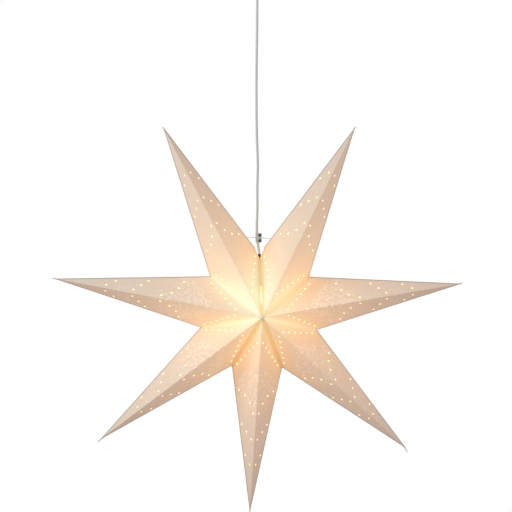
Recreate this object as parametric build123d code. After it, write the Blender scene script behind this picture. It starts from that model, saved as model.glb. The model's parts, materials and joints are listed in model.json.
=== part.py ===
from build123d import *
import math
import os

# Paper star lantern: seven folded paper points round a hanging lamp.
# +Z is up and -Y is the front. The origin is on the ceiling, on the axis of the cord's top end.

# The star
POINT_REACH = 359 * MM
VALLEY_REACH = 106 * MM
HALF_DEPTH = 92 * MM
STAR_SHIFT = 3.6 * MM
PAPER = 0.4 * MM
FLAP_WIDTH = 6 * MM
FULL_TURN = 360
SEAM_HALF_TURN = 1.9
# The turn from each point to the next, from the seam's left round by the bottom, a little uneven as opened by hand
SECTOR_TURNS = [53.12, 48.18, 48.62, 49.51, 50.87, 54.98, 54.72]

# Punched holes, as rows on one facet: the end by the ridge, the far end, and how far the row bows
# Each place is measured along the ridge from the peak, then across from the ridge
HOLE_RADIUS = 1.6 * MM
HOLE_SIDES = 6
HOLE_COUNTS = [6, 4, 3, 2]
HOLE_ROWS = [
    ((48.5 * MM, 8.8 * MM), (107.5 * MM, 63.2 * MM), 0 * MM),
    ((180 * MM, 9 * MM), (153 * MM, 53.4 * MM), 8 * MM),
    ((230 * MM, 9.5 * MM), (212.7 * MM, 39.1 * MM), 0 * MM),
    ((279.2 * MM, 9.5 * MM), (266.7 * MM, 23.4 * MM), 0 * MM),
]

# Hanger wire, through the clamp on the cord and the top folds of the two upper points, a little low to the right
WIRE_RADIUS = 0.6 * MM
WIRE_RISE = 23 * MM
WIRE_HEIGHT = VALLEY_REACH + WIRE_RISE
WIRE_DROP = 491 * MM
WIRE_TILT = 4
WIRE_GRIP = 14 * MM
WIRE_SET_BACK = 3.6 * MM
WIRE_CRANK_START = 12 * MM
WIRE_CRANK_END = 6 * MM
WIRE_BEND = 3 * MM
WIRE_HOLE_RADIUS = 1.1 * MM

# The star hangs on the wire, and the lamp's and the cord's own heights are measured from this far below the wire
STAR_DROP = WIRE_DROP + WIRE_HEIGHT
LAMP_DROP = 129 * MM

# Cord, as places across and heights
CORD_RADIUS = 2.1 * MM
CORD_CLEARANCE = 0.3 * MM
CORD_ROUTE = [
    (0 * MM, 596 * MM),
    (0 * MM, 500 * MM),
    (-1.7 * MM, 400 * MM),
    (-1.1 * MM, 305 * MM),
    (1.3 * MM, 256 * MM),
    (-0.2 * MM, 215 * MM),
    (0.4 * MM, 180 * MM),
    (-1.2 * MM, 149 * MM),
    (0 * MM, 123 * MM),
    (3.6 * MM, 104 * MM),
    (3.6 * MM, 86 * MM),
]
ARC_SHARE = 0.45

# Clamp on the cord
CLAMP_HEIGHT = 16 * MM
CLAMP_LEFT = 3 * MM
CLAMP_RIGHT = 7.4 * MM
CLAMP_FRONT = 3.6 * MM
CLAMP_BACK = 5.6 * MM
CLAMP_GAP = 0.6 * MM
CLAMP_ROUNDING = 0.8 * MM
CLAMP_SCREW_OFFSET = 4.6 * MM
CLAMP_SCREW_X = 4.3 * MM
CLAMP_SCREW_RADIUS = 0.8 * MM
CLAMP_HEAD_RADIUS = 2.6 * MM
CLAMP_HEAD_HEIGHT = 1.2 * MM
SLOT_WIDTH = 0.6 * MM
SLOT_DEPTH = 0.5 * MM
SCREW_SIDES = 12

# Lampholder, as outlines of radius and height
BOOT_FLANGE_RADIUS = 6 * MM
BOOT_NECK_RADIUS = 4.6 * MM
BOOT_TIP_RADIUS = 2.7 * MM
BOOT_BOTTOM = 78.4 * MM
BOOT_SHOULDER = 84 * MM
BOOT_TAPER_TOP = 91 * MM
BOOT_TOP = 101 * MM
DOME_TOP = 82 * MM
DOME_WALL = 1.6 * MM
DOME_OUTLINE = [(14 * MM, 60 * MM), (13.5 * MM, 68 * MM), (11.6 * MM, 75 * MM), (7.4 * MM, 82 * MM)]
SKIRT_BOTTOM = 38 * MM
SKIRT_SHOULDER = 59.7 * MM
SKIRT_TOP = 66 * MM
SKIRT_RADIUS = 13.5 * MM
SKIRT_NECK_RADIUS = 11.6 * MM
SKIRT_WALL = 1.5 * MM
INSERT_TOP = 70 * MM
INSERT_RADIUS = 11.2 * MM
SHELL_RADIUS = 7.2 * MM
SHELL_WALL = 0.5 * MM
SHELL_BOTTOM = 46 * MM
SHELL_FLANGE_RADIUS = 9.8 * MM
CONTACT_WIDTH = 4 * MM
CONTACT_LENGTH = 9 * MM
CONTACT_STEEL = 0.5 * MM
CONTACT_DROP = 2 * MM
CONTACT_SLANT = 1.8 * MM
HOLDER_SCREW_RADIUS = 1.6 * MM
HOLDER_SCREW_HEIGHT = 2.4 * MM
HOLDER_SCREW_OFFSET = 6 * MM

# Bulb with a small screw cap
GLOBE_RADIUS = 22.5 * MM
GLOBE_CENTRE = 10 * MM
GLOBE_TOP = 24 * MM
GLOBE_BANDS = 8
HOUSING_WAIST = 36 * MM
HOUSING_WAIST_RADIUS = 10.2 * MM
HOUSING_TOP = 43 * MM
HOUSING_TOP_RADIUS = 8.2 * MM
CAP_TOP = 60.6 * MM
CAP_RADIUS = 6.8 * MM
CAP_CHAMFER = 1.4 * MM
INSULATOR_HEIGHT = 1.8 * MM
INSULATOR_TOP_RADIUS = 3.4 * MM
BULB_CONTACT_HEIGHT = 1 * MM
BULB_CONTACT_RADIUS = 2.2 * MM

# Seam clips, each a folded strip of spring steel over the two flaps at the seam
CLIP_WIDTH = 10 * MM
CLIP_LEG = 5 * MM
CLIP_STEEL = 0.5 * MM
CLIP_CLEARANCE = 0.25 * MM
CLIP_SEAT = 0.1 * MM
CLIP_PLACE_SHARE = 0.55

# Ceiling bracket with its stamped hook, measured down from the ceiling
BRACKET_LENGTH = 66 * MM
BRACKET_WIDTH = 18 * MM
BRACKET_STEEL = 1.5 * MM
BRACKET_HOLE_RADIUS = 2.25 * MM
BRACKET_HOLE_OFFSET = 27 * MM
HOOK_STEEL = 2 * MM
HOOK_RADIUS = 5.5 * MM
HOOK_INNER_RADIUS = 3 * MM
HOOK_DROP = 13.5 * MM

# Anchor of the cord, hung in the hook
EYE_DROP = 19 * MM
EYE_RADIUS = 5.5 * MM
EYE_INNER_RADIUS = 3 * MM
EYE_THICKNESS = 3 * MM
ANCHOR_TOP = 23.6 * MM
ANCHOR_BOTTOM = 42 * MM
ANCHOR_TOP_RADIUS = 6 * MM
ANCHOR_BOTTOM_RADIUS = 4.4 * MM
ANCHOR_BORE_TOP = 23.9 * MM

# Terminal block and the two leads to it
BLOCK_START = 8.5 * MM
BLOCK_LENGTH = 12 * MM
BLOCK_WIDTH = 18 * MM
BLOCK_HEIGHT = 10 * MM
POLE_OFFSET = 4.5 * MM
POLE_DROP = 7 * MM
SLEEVE_SIZE = 5 * MM
SLEEVE_BORE_RADIUS = 1.4 * MM
BLOCK_SCREW_RADIUS = 1.3 * MM
BLOCK_SCREW_PLACES = [3.2 * MM, 8.8 * MM]
BLOCK_SCREW_LENGTH = 3 * MM
LEAD_RADIUS = 0.9 * MM
LEAD_SIDES = 6
LEAD_BEND = 1.6 * MM
LEAD_ROUTE = [
    (8.5 * MM, 4.5 * MM, 7 * MM),
    (6.6 * MM, 4.5 * MM, 7.8 * MM),
    (6.6 * MM, 4.5 * MM, 16 * MM),
    (4.2 * MM, 2.6 * MM, 26 * MM),
]

# Ceiling cup, which slides down the cord
CUP_WALL = 1.8 * MM
CUP_OUTLINE = [(38 * MM, 0.3 * MM), (36.6 * MM, 14 * MM), (30 * MM, 44 * MM), (8 * MM, 56 * MM)]
CUP_COLLAR_RADIUS = 6.4 * MM
CUP_COLLAR_BOTTOM = 68 * MM
CUP_BORE_RADIUS = 2.6 * MM
GRUB_RADIUS = 1.5 * MM
GRUB_DROP = 62.5 * MM
GRUB_SOCKET_RADIUS = 0.8 * MM
GRUB_SOCKET_DEPTH = 1.5 * MM

STAR_CENTRE = Vector(STAR_SHIFT, 0, -STAR_DROP)


def level(height):
    """A height above the star's centre, as Z from the ceiling."""
    return height - STAR_DROP


def hung(height):
    """A height on the cord or in the lamp, as Z from the ceiling."""
    return height - LAMP_DROP - WIRE_DROP


def toward(turn):
    """The direction in the star's plane at a turn from straight down, positive toward +X."""
    angle = math.radians(turn)
    return Vector(math.sin(angle), 0, -math.cos(angle))


def tip_turns():
    """The turn of each point from straight down, from the seam's left to its right."""
    turns = [SECTOR_TURNS[-1] / 2 - FULL_TURN / 2]
    for sector in SECTOR_TURNS[:-1]:
        turns.append(turns[-1] + sector)
    return turns


def valley_turns(index):
    """The turns of the valleys before and after one point."""
    tip = tip_turns()[index]
    before = tip - SECTOR_TURNS[index - 1] / 2
    after = tip + SECTOR_TURNS[index] / 2
    if index == 0:
        before = SEAM_HALF_TURN - FULL_TURN / 2
    if index == len(SECTOR_TURNS) - 1:
        after = FULL_TURN / 2 - SEAM_HALF_TURN
    return before, after


def outward_plane(corners, inside, inset):
    """The plane through three corners, moved inward, with its normal away from a point inside."""
    first, second, third = corners
    normal = (second - first).cross(third - first).normalized()
    if normal.dot(inside - first) > 0:
        normal = normal * -1
    return Plane(origin=first - normal * inset, z_dir=normal)


def solid_within(planes, middle):
    """The closed solid inside a set of planes."""
    solid = Pos(middle) * Box(2 * POINT_REACH, 2 * POINT_REACH, 2 * POINT_REACH)
    for plane in planes:
        solid = split(solid, bisect_by=plane, keep=Keep.BOTTOM)
    return solid


def row_places(count, row):
    """The places of one row's holes on a facet."""
    near, far, bow = row
    along = far[0] - near[0]
    across = far[1] - near[1]
    length = math.hypot(along, across)
    places = []
    for number in range(count):
        share = number / (count - 1)
        lift = 4 * bow * share * (1 - share) / length
        places.append((near[0] + along * share - across * lift, near[1] + across * share + along * lift))
    return places


def facet_punches(peak, tip, corner):
    """The punches for one facet's holes."""
    ridge = (tip - peak).normalized()
    normal = ridge.cross(corner - peak).normalized()
    across = normal.cross(ridge)
    punches = []
    for count, row in zip(HOLE_COUNTS, HOLE_ROWS):
        for forward, sideways in row_places(count, row):
            place = Plane(origin=peak + ridge * forward + across * sideways, x_dir=ridge, z_dir=normal)
            punches.append(extrude(place * RegularPolygon(HOLE_RADIUS, HOLE_SIDES), 3 * PAPER, both=True))
    return punches


def flap_window(peak, rear, corner):
    """The opening in one side of a point, inside its glue flaps."""
    outward = corner.normalized()
    slope = math.atan2(HALF_DEPTH, VALLEY_REACH)
    corner_inset = FLAP_WIDTH / math.sin(slope)
    peak_inset = FLAP_WIDTH / math.cos(slope)
    normal = (peak - rear).normalized().cross(outward)
    start = outward * -FLAP_WIDTH
    stretch = (HALF_DEPTH - peak_inset) * (1 + FLAP_WIDTH / (VALLEY_REACH - corner_inset))
    front = peak.normalized() * stretch + start
    back = rear.normalized() * stretch + start
    outline = Polyline(front, outward * (VALLEY_REACH - corner_inset), back, close=True)
    return extrude(make_face(outline), 4 * PAPER, dir=normal, both=True)


def star_point(index):
    """One folded paper point: four facets, punched, with a glue flap along each side."""
    turn = tip_turns()[index]
    before, after = valley_turns(index)
    tip = toward(turn) * POINT_REACH
    peak = Vector(0, -HALF_DEPTH, 0)
    rear = Vector(0, HALF_DEPTH, 0)
    middle = toward(turn) * VALLEY_REACH / 2
    facets = []
    sides = []
    for valley in (before, after):
        corner = toward(valley) * VALLEY_REACH
        facets.append((peak, tip, corner))
        facets.append((rear, tip, corner))
        sides.append((peak, rear, corner))
    outer = solid_within([outward_plane(face, middle, 0) for face in facets + sides], middle)
    inner = solid_within([outward_plane(face, middle, PAPER) for face in facets + sides], middle)
    point = outer - inner
    for side in sides:
        point -= flap_window(*side)
    for facet in facets:
        point -= facet_punches(*facet)
    if index in (0, len(SECTOR_TURNS) - 1):
        edge_side = 1 if index else -1
        half_span = wire_half_span()
        wire_line = Pos(0, 0, WIRE_HEIGHT) * Rot(0, 90 + WIRE_TILT, 0)
        point -= wire_line * Pos(0, 0, edge_side * half_span / 2) * prism(WIRE_HOLE_RADIUS, half_span)
    return Pos(STAR_CENTRE) * point


def turned(outline):
    """A solid turned about the lamp's axis from an outline of radius and height."""
    points = [(STAR_SHIFT + radius, 0, hung(height)) for radius, height in outline]
    face = make_face(Polyline(*points, close=True))
    return revolve(face, axis=Axis((STAR_SHIFT, 0, 0), (0, 0, 1)))


def cord_points():
    """The cord's route from the ceiling fitting to the lampholder."""
    return [Vector(across, 0, hung(height)) for across, height in CORD_ROUTE]


def arc_radii(points):
    """The largest arc that the runs on each side of every corner allow."""
    radii = []
    for last, here, after in zip(points, points[1:], points[2:]):
        run_in = here - last
        run_out = after - here
        half_turn = math.radians(run_in.get_angle(run_out)) / 2
        radii.append(ARC_SHARE * min(run_in.length, run_out.length) / math.tan(half_turn))
    return radii


def swept_tube(points, radii, section_radius):
    """A round tube along straight runs and tangent arcs, with the length of its path."""
    path = FilletPolyline(*points, radius=radii)
    section = Plane(origin=path @ 0, z_dir=path % 0) * Circle(section_radius)
    return sweep(section, path=path), path.length


def cord():
    """The mains cord, from its anchor under the ceiling to the lampholder."""
    points = cord_points()
    radii = arc_radii(points)
    tube, length = swept_tube(points, radii, CORD_RADIUS)
    print("cord arc radii, mm:", [round(radius) for radius in radii])
    print("cord length, mm:", round(length, 1))
    plain_volume = math.pi * CORD_RADIUS**2 * length
    print("cord volume against section times length:", round(tube.volume / plain_volume, 4))
    return tube


def wire_half_span():
    """Half the wire's length: to the edge of the upper points at its height, and its grip inside them."""
    last = len(SECTOR_TURNS) - 1
    tip = toward(tip_turns()[last]) * POINT_REACH
    corner = toward(valley_turns(last)[1]) * VALLEY_REACH
    edge = corner + (tip - corner) * ((WIRE_HEIGHT - corner.Z) / (tip.Z - corner.Z))
    return edge.X + WIRE_GRIP


def hanger_wire():
    """The spring wire that carries the star, cranked back round the cord."""
    height = level(WIRE_HEIGHT)
    half_span = wire_half_span()
    plan = [
        (-half_span, 0),
        (-WIRE_CRANK_START, 0),
        (-WIRE_CRANK_END, WIRE_SET_BACK),
        (WIRE_CRANK_END, WIRE_SET_BACK),
        (WIRE_CRANK_START, 0),
        (half_span, 0),
    ]
    fall = math.tan(math.radians(WIRE_TILT))
    points = [Vector(STAR_SHIFT + across, back, height - across * fall) for across, back in plan]
    return swept_tube(points, [WIRE_BEND] * len(plan[1:-1]), WIRE_RADIUS)[0]


def clamp_half(front, cord_tube, wire):
    """One jaw of the clamp, closed on the cord and the hanger wire."""
    height = level(WIRE_HEIGHT)
    side = -1 if front else 1
    depth = (CLAMP_FRONT if front else CLAMP_BACK) - CLAMP_GAP / 2
    centre_x = (CLAMP_RIGHT - CLAMP_LEFT) / 2
    centre_y = side * (depth + CLAMP_GAP) / 2
    jaw = Pos(centre_x, centre_y, height) * Box(CLAMP_LEFT + CLAMP_RIGHT, depth, CLAMP_HEIGHT)
    outer_edges = jaw.edges().filter_by(Axis.Z).group_by(Axis.Y)[0 if front else -1]
    jaw = fillet(outer_edges, CLAMP_ROUNDING)
    jaw -= cord_tube
    jaw -= wire
    for offset in (-CLAMP_SCREW_OFFSET, CLAMP_SCREW_OFFSET):
        jaw -= screw_place(offset) * prism(CLAMP_SCREW_RADIUS, 2 * (CLAMP_FRONT + CLAMP_BACK))
    return jaw


def prism(radius, length):
    """A small many-sided shank, centred on its own origin."""
    return extrude(RegularPolygon(radius, SCREW_SIDES), length / 2, both=True)


def screw_place(offset):
    """Where a clamp screw's axis meets the front jaw's face."""
    return Pos(CLAMP_SCREW_X, -CLAMP_FRONT, level(WIRE_HEIGHT + offset)) * Rot(90, 0, 0)


def slotted_screw(head_radius, head_height, shank_radius, shank_length):
    """A slotted screw with its head's underside on the XY plane."""
    head = Pos(0, 0, head_height / 2) * prism(head_radius, head_height)
    shank = Pos(0, 0, -shank_length / 2) * prism(shank_radius, shank_length)
    slot = Pos(0, 0, head_height) * Box(3 * head_radius, SLOT_WIDTH, 2 * SLOT_DEPTH)
    return head + shank - slot


def clamp_screws():
    """The two screws that draw the clamp's jaws together."""
    length = CLAMP_FRONT + CLAMP_BACK
    screw = slotted_screw(CLAMP_HEAD_RADIUS, CLAMP_HEAD_HEIGHT, CLAMP_SCREW_RADIUS, length)
    return Compound([screw_place(offset) * screw for offset in (-CLAMP_SCREW_OFFSET, CLAMP_SCREW_OFFSET)])


def cord_boot(cord_tube):
    """The soft boot where the cord enters the lampholder, moulded round the cord."""
    outline = [
        (0, BOOT_BOTTOM),
        (BOOT_FLANGE_RADIUS, BOOT_BOTTOM),
        (BOOT_FLANGE_RADIUS, DOME_TOP - DOME_WALL),
        (BOOT_NECK_RADIUS, DOME_TOP - DOME_WALL),
        (BOOT_NECK_RADIUS, BOOT_SHOULDER),
        (BOOT_TIP_RADIUS, BOOT_TAPER_TOP),
        (BOOT_TIP_RADIUS, BOOT_TOP),
        (0, BOOT_TOP),
    ]
    return turned(outline) - cord_tube


def holder_dome():
    """The lampholder's domed upper half, screwed over the skirt's neck."""
    inner = [(radius - DOME_WALL, height) for radius, height in DOME_OUTLINE[:-1]]
    top_radius = DOME_OUTLINE[-1][0]
    outline = DOME_OUTLINE + [
        (BOOT_NECK_RADIUS, DOME_TOP),
        (BOOT_NECK_RADIUS, DOME_TOP - DOME_WALL),
        (top_radius - DOME_WALL / 2, DOME_TOP - DOME_WALL),
    ]
    return turned(outline + inner[::-1])


def holder_skirt():
    """The lampholder's lower half, open below for the bulb, with its threaded neck above."""
    outline = [
        (SKIRT_RADIUS, SKIRT_BOTTOM),
        (SKIRT_RADIUS, SKIRT_SHOULDER),
        (SKIRT_NECK_RADIUS, SKIRT_SHOULDER),
        (SKIRT_NECK_RADIUS, SKIRT_TOP),
        (SKIRT_NECK_RADIUS - SKIRT_WALL, SKIRT_TOP),
        (SKIRT_NECK_RADIUS - SKIRT_WALL, SKIRT_SHOULDER - SKIRT_WALL),
        (SKIRT_RADIUS - SKIRT_WALL, SKIRT_SHOULDER - SKIRT_WALL),
        (SKIRT_RADIUS - SKIRT_WALL, SKIRT_BOTTOM),
    ]
    return turned(outline)


def holder_insert():
    """The disc that carries the lampholder's contacts, seated on the skirt's neck."""
    outline = [(0, SKIRT_TOP), (INSERT_RADIUS, SKIRT_TOP), (INSERT_RADIUS, INSERT_TOP), (0, INSERT_TOP)]
    return turned(outline)


def holder_shell():
    """The brass sleeve for the bulb's cap, flanged under the insert."""
    outline = [
        (SHELL_RADIUS, SHELL_BOTTOM),
        (SHELL_RADIUS + SHELL_WALL, SHELL_BOTTOM),
        (SHELL_RADIUS + SHELL_WALL, SKIRT_TOP - SHELL_WALL),
        (SHELL_FLANGE_RADIUS, SKIRT_TOP - SHELL_WALL),
        (SHELL_FLANGE_RADIUS, SKIRT_TOP),
        (SHELL_RADIUS, SKIRT_TOP),
    ]
    return turned(outline)


def holder_contact():
    """The sprung centre contact under the insert, a bent strip."""
    half = CONTACT_LENGTH / 2
    low = half - CONTACT_SLANT
    outer = [(-half, 0), (-low, -CONTACT_DROP), (low, -CONTACT_DROP), (half, 0)]
    inner = [
        (half - 2 * CONTACT_STEEL, 0),
        (low - CONTACT_STEEL, CONTACT_STEEL - CONTACT_DROP),
        (CONTACT_STEEL - low, CONTACT_STEEL - CONTACT_DROP),
        (2 * CONTACT_STEEL - half, 0),
    ]
    points = [(STAR_SHIFT + across, 0, hung(SKIRT_TOP + rise)) for across, rise in outer + inner]
    return extrude(make_face(Polyline(*points, close=True)), CONTACT_WIDTH / 2, both=True)


def holder_screws():
    """The two terminal screws on top of the insert."""
    screws = []
    for side in (-1, 1):
        place = Pos(STAR_SHIFT + side * HOLDER_SCREW_OFFSET, 0, hung(INSERT_TOP + HOLDER_SCREW_HEIGHT / 2))
        screws.append(place * prism(HOLDER_SCREW_RADIUS, HOLDER_SCREW_HEIGHT))
    return Compound(screws)


def bulb_globe():
    """The opal globe, closed above by the housing."""
    top_angle = math.asin((GLOBE_TOP - GLOBE_CENTRE) / GLOBE_RADIUS)
    outline = [(0, GLOBE_TOP)]
    for band in range(GLOBE_BANDS):
        angle = top_angle - (top_angle + math.pi / 2) * band / GLOBE_BANDS
        outline.append((GLOBE_RADIUS * math.cos(angle), GLOBE_CENTRE + GLOBE_RADIUS * math.sin(angle)))
    outline.append((0, GLOBE_CENTRE - GLOBE_RADIUS))
    return turned(outline)


def bulb_housing():
    """The plastic neck between the globe and the cap."""
    globe_top_radius = math.sqrt(GLOBE_RADIUS**2 - (GLOBE_TOP - GLOBE_CENTRE) ** 2)
    outline = [
        (0, GLOBE_TOP),
        (globe_top_radius, GLOBE_TOP),
        (HOUSING_WAIST_RADIUS, HOUSING_WAIST),
        (HOUSING_TOP_RADIUS, HOUSING_TOP),
        (0, HOUSING_TOP),
    ]
    return turned(outline)


def bulb_screw_cap():
    """The bulb's metal cap, at its thread's outer radius."""
    outline = [
        (0, HOUSING_TOP),
        (CAP_RADIUS, HOUSING_TOP),
        (CAP_RADIUS, CAP_TOP - CAP_CHAMFER),
        (CAP_RADIUS - CAP_CHAMFER, CAP_TOP),
        (0, CAP_TOP),
    ]
    return turned(outline)


def bulb_insulator():
    """The dark insulator between the cap and its centre contact."""
    top = CAP_TOP + INSULATOR_HEIGHT
    outline = [(0, CAP_TOP), (CAP_RADIUS - CAP_CHAMFER, CAP_TOP), (INSULATOR_TOP_RADIUS, top), (0, top)]
    return turned(outline)


def bulb_contact():
    """The bulb's centre contact."""
    place = Pos(STAR_SHIFT, 0, hung(CAP_TOP + INSULATOR_HEIGHT + BULB_CONTACT_HEIGHT / 2))
    return place * prism(BULB_CONTACT_RADIUS, BULB_CONTACT_HEIGHT)


def seam_clip(side):
    """A folded steel strip that holds the two seam flaps together, at the front (-1) or the back (1)."""
    peak = Vector(0, side * HALF_DEPTH, 0)
    corner = Vector(0, 0, VALLEY_REACH)
    run = (corner - peak).normalized()
    inward = Vector(1, 0, 0).cross(run) * side
    seat = peak + (corner - peak) * CLIP_PLACE_SHARE + inward * (FLAP_WIDTH + CLIP_SEAT)
    seam_opening = VALLEY_REACH * CLIP_PLACE_SHARE * math.tan(math.radians(SEAM_HALF_TURN))
    half_gap = seam_opening + PAPER + CLIP_CLEARANCE
    outer = half_gap + CLIP_STEEL
    outline = [
        (-outer, -CLIP_LEG),
        (-outer, CLIP_STEEL),
        (outer, CLIP_STEEL),
        (outer, -CLIP_LEG),
        (half_gap, -CLIP_LEG),
        (half_gap, 0),
        (-half_gap, 0),
        (-half_gap, -CLIP_LEG),
    ]
    points = [STAR_CENTRE + seat + Vector(across, 0, 0) + inward * depth for across, depth in outline]
    return extrude(make_face(Polyline(*points, close=True)), CLIP_WIDTH / 2, dir=run, both=True)


def ceiling_bracket():
    """The steel strip under the ceiling, with two screw holes and a stamped hook."""
    strip = Pos(0, 0, -BRACKET_STEEL / 2) * Box(BRACKET_LENGTH, BRACKET_WIDTH, BRACKET_STEEL)
    for side in (-1, 1):
        hole = Pos(side * BRACKET_HOLE_OFFSET, 0, 0) * Cylinder(BRACKET_HOLE_RADIUS, 4 * BRACKET_STEEL)
        strip -= hole
    hook_centre = Plane(origin=(0, 0, -HOOK_DROP), x_dir=(1, 0, 0), z_dir=(0, -1, 0))
    ring = Circle(HOOK_RADIUS) - Circle(HOOK_INNER_RADIUS)
    mouth = Pos(HOOK_RADIUS, HOOK_RADIUS) * Rectangle(2 * HOOK_RADIUS, 2 * HOOK_RADIUS)
    shank_width = HOOK_RADIUS - HOOK_INNER_RADIUS
    shank_length = HOOK_DROP - BRACKET_STEEL
    shank = Pos(-HOOK_RADIUS + shank_width / 2, shank_length / 2) * Rectangle(shank_width, shank_length)
    upper_left = Pos(-HOOK_INNER_RADIUS / 2, HOOK_RADIUS / 2) * Rectangle(HOOK_INNER_RADIUS, HOOK_RADIUS)
    hook = extrude(hook_centre * (ring - mouth - upper_left + shank), HOOK_STEEL / 2, both=True)
    return strip + hook


def cord_anchor(leads):
    """The anchor moulding that hangs in the hook by its eye and holds the cord's top end and the leads."""
    eye_plane = Plane(origin=(0, 0, -EYE_DROP), x_dir=(0, 1, 0), z_dir=(1, 0, 0))
    eye = extrude(eye_plane * (Circle(EYE_RADIUS) - Circle(EYE_INNER_RADIUS)), EYE_THICKNESS / 2, both=True)
    body_outline = [
        (0, -ANCHOR_TOP),
        (ANCHOR_TOP_RADIUS, -ANCHOR_TOP),
        (ANCHOR_BOTTOM_RADIUS, -ANCHOR_BOTTOM),
        (0, -ANCHOR_BOTTOM),
    ]
    points = [(radius, 0, height) for radius, height in body_outline]
    body = revolve(make_face(Polyline(*points, close=True)), axis=Axis.Z)
    bore_length = ANCHOR_BOTTOM - ANCHOR_BORE_TOP
    bore = Pos(0, 0, -ANCHOR_BORE_TOP - bore_length / 2) * Cylinder(CORD_RADIUS + CORD_CLEARANCE, bore_length)
    return eye + body - bore - leads


def block_poles():
    """The middle of each pole of the terminal block, and the turn that lays a Z shape along X."""
    middle_x = BLOCK_START + BLOCK_LENGTH / 2
    return [Pos(middle_x, side * POLE_OFFSET, -POLE_DROP) * Rot(0, 90, 0) for side in (-1, 1)]


def block_screw_places():
    """Where the terminal screws enter the block, from below."""
    low = -BRACKET_STEEL - BLOCK_HEIGHT
    places = []
    for side in (-1, 1):
        for along in BLOCK_SCREW_PLACES:
            places.append(Pos(BLOCK_START + along, side * POLE_OFFSET, low + BLOCK_SCREW_LENGTH / 2))
    return places


def terminal_block():
    """The two-pole terminal block under the bracket."""
    middle_x = BLOCK_START + BLOCK_LENGTH / 2
    centre = Pos(middle_x, 0, -BRACKET_STEEL - BLOCK_HEIGHT / 2)
    block = centre * Box(BLOCK_LENGTH, BLOCK_WIDTH, BLOCK_HEIGHT)
    for pole in block_poles():
        block -= pole * Box(SLEEVE_SIZE, SLEEVE_SIZE, 2 * BLOCK_LENGTH)
    for place in block_screw_places():
        block -= place * prism(BLOCK_SCREW_RADIUS, BLOCK_SCREW_LENGTH)
    return block


def terminal_sleeves():
    """The two square brass sleeves in the terminal block."""
    sleeves = []
    for pole in block_poles():
        bore = Cylinder(SLEEVE_BORE_RADIUS, 2 * BLOCK_LENGTH)
        sleeve = pole * (Box(SLEEVE_SIZE, SLEEVE_SIZE, BLOCK_LENGTH) - bore)
        for place in block_screw_places():
            sleeve -= place * prism(BLOCK_SCREW_RADIUS, BLOCK_SCREW_LENGTH)
        sleeves.append(sleeve)
    return Compound(sleeves)


def terminal_screws():
    """The four terminal screws, flush with the block's underside."""
    return Compound([place * prism(BLOCK_SCREW_RADIUS, BLOCK_SCREW_LENGTH) for place in block_screw_places()])


def lead(side):
    """One insulated lead, from the terminal block to the top of the anchor."""
    points = [Vector(across, side * sideways, -drop) for across, sideways, drop in LEAD_ROUTE]
    path = FilletPolyline(*points, radius=LEAD_BEND)
    section = Plane(origin=path @ 0, z_dir=path % 0) * RegularPolygon(LEAD_RADIUS, LEAD_SIDES)
    return sweep(section, path=path)


def grub_hole():
    """The place and length of the threaded hole through the cup's collar, at the back."""
    length = CUP_COLLAR_RADIUS - CUP_BORE_RADIUS
    place = Pos(0, CUP_BORE_RADIUS + length / 2, -GRUB_DROP) * Rot(90, 0, 0)
    return place, length


def ceiling_cup():
    """The cup that covers the ceiling fitting, with a collar round the cord."""
    shoulder = CUP_OUTLINE[-1]
    outline = CUP_OUTLINE + [(CUP_COLLAR_RADIUS, CUP_COLLAR_BOTTOM), (CUP_BORE_RADIUS, CUP_COLLAR_BOTTOM)]
    outline.append((CUP_BORE_RADIUS, shoulder[1] - CUP_WALL))
    outline.append((shoulder[0] - CUP_WALL, shoulder[1] - CUP_WALL))
    inner = [(radius - CUP_WALL, drop - CUP_WALL) for radius, drop in CUP_OUTLINE[1:-1]]
    rim = CUP_OUTLINE[0]
    outline += inner[::-1] + [(rim[0] - CUP_WALL, rim[1])]
    points = [(radius, 0, -drop) for radius, drop in outline]
    cup = revolve(make_face(Polyline(*points, close=True)), axis=Axis.Z)
    place, length = grub_hole()
    return cup - place * prism(GRUB_RADIUS, 2 * length)


def cup_grub_screw():
    """The grub screw that pinches the cord in the cup's collar, here backed off by the bore's clearance."""
    place, length = grub_hole()
    socket = Pos(0, 0, -length / 2) * prism(GRUB_SOCKET_RADIUS, 2 * GRUB_SOCKET_DEPTH)
    return place * (prism(GRUB_RADIUS, length) - socket)


def main():
    os.makedirs("parts", exist_ok=True)
    cord_tube = cord()
    wire = hanger_wire()
    leads = [lead(-1), lead(1)]
    nodes = {
        "hanger_wire": wire,
        "clamp_front": clamp_half(True, cord_tube, wire),
        "clamp_back": clamp_half(False, cord_tube, wire),
        "clamp_screws": clamp_screws(),
        "cord": cord_tube,
        "cord_boot": cord_boot(cord_tube),
        "holder_dome": holder_dome(),
        "holder_skirt": holder_skirt(),
        "holder_insert": holder_insert(),
        "holder_shell": holder_shell(),
        "holder_contact": holder_contact(),
        "holder_screws": holder_screws(),
        "bulb_globe": bulb_globe(),
        "bulb_housing": bulb_housing(),
        "bulb_screw_cap": bulb_screw_cap(),
        "bulb_insulator": bulb_insulator(),
        "bulb_contact": bulb_contact(),
        "seam_clip_front": seam_clip(-1),
        "seam_clip_back": seam_clip(1),
        "ceiling_bracket": ceiling_bracket(),
        "cord_anchor": cord_anchor(leads),
        "terminal_block": terminal_block(),
        "terminal_sleeves": terminal_sleeves(),
        "terminal_screws": terminal_screws(),
        "lead_brown": leads[0],
        "lead_blue": leads[1],
        "ceiling_cup": ceiling_cup(),
        "cup_grub_screw": cup_grub_screw(),
    }
    for index in range(len(SECTOR_TURNS)):
        nodes[f"star_point_{index + 1}"] = star_point(index)
    for name, solid in nodes.items():
        export_step(solid, f"parts/{name}.step")
    print("nodes:", len(nodes))


main()
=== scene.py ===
import json
import math

import bmesh
import bpy
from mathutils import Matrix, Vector, noise
from mathutils.geometry import delaunay_2d_cdt


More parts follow.
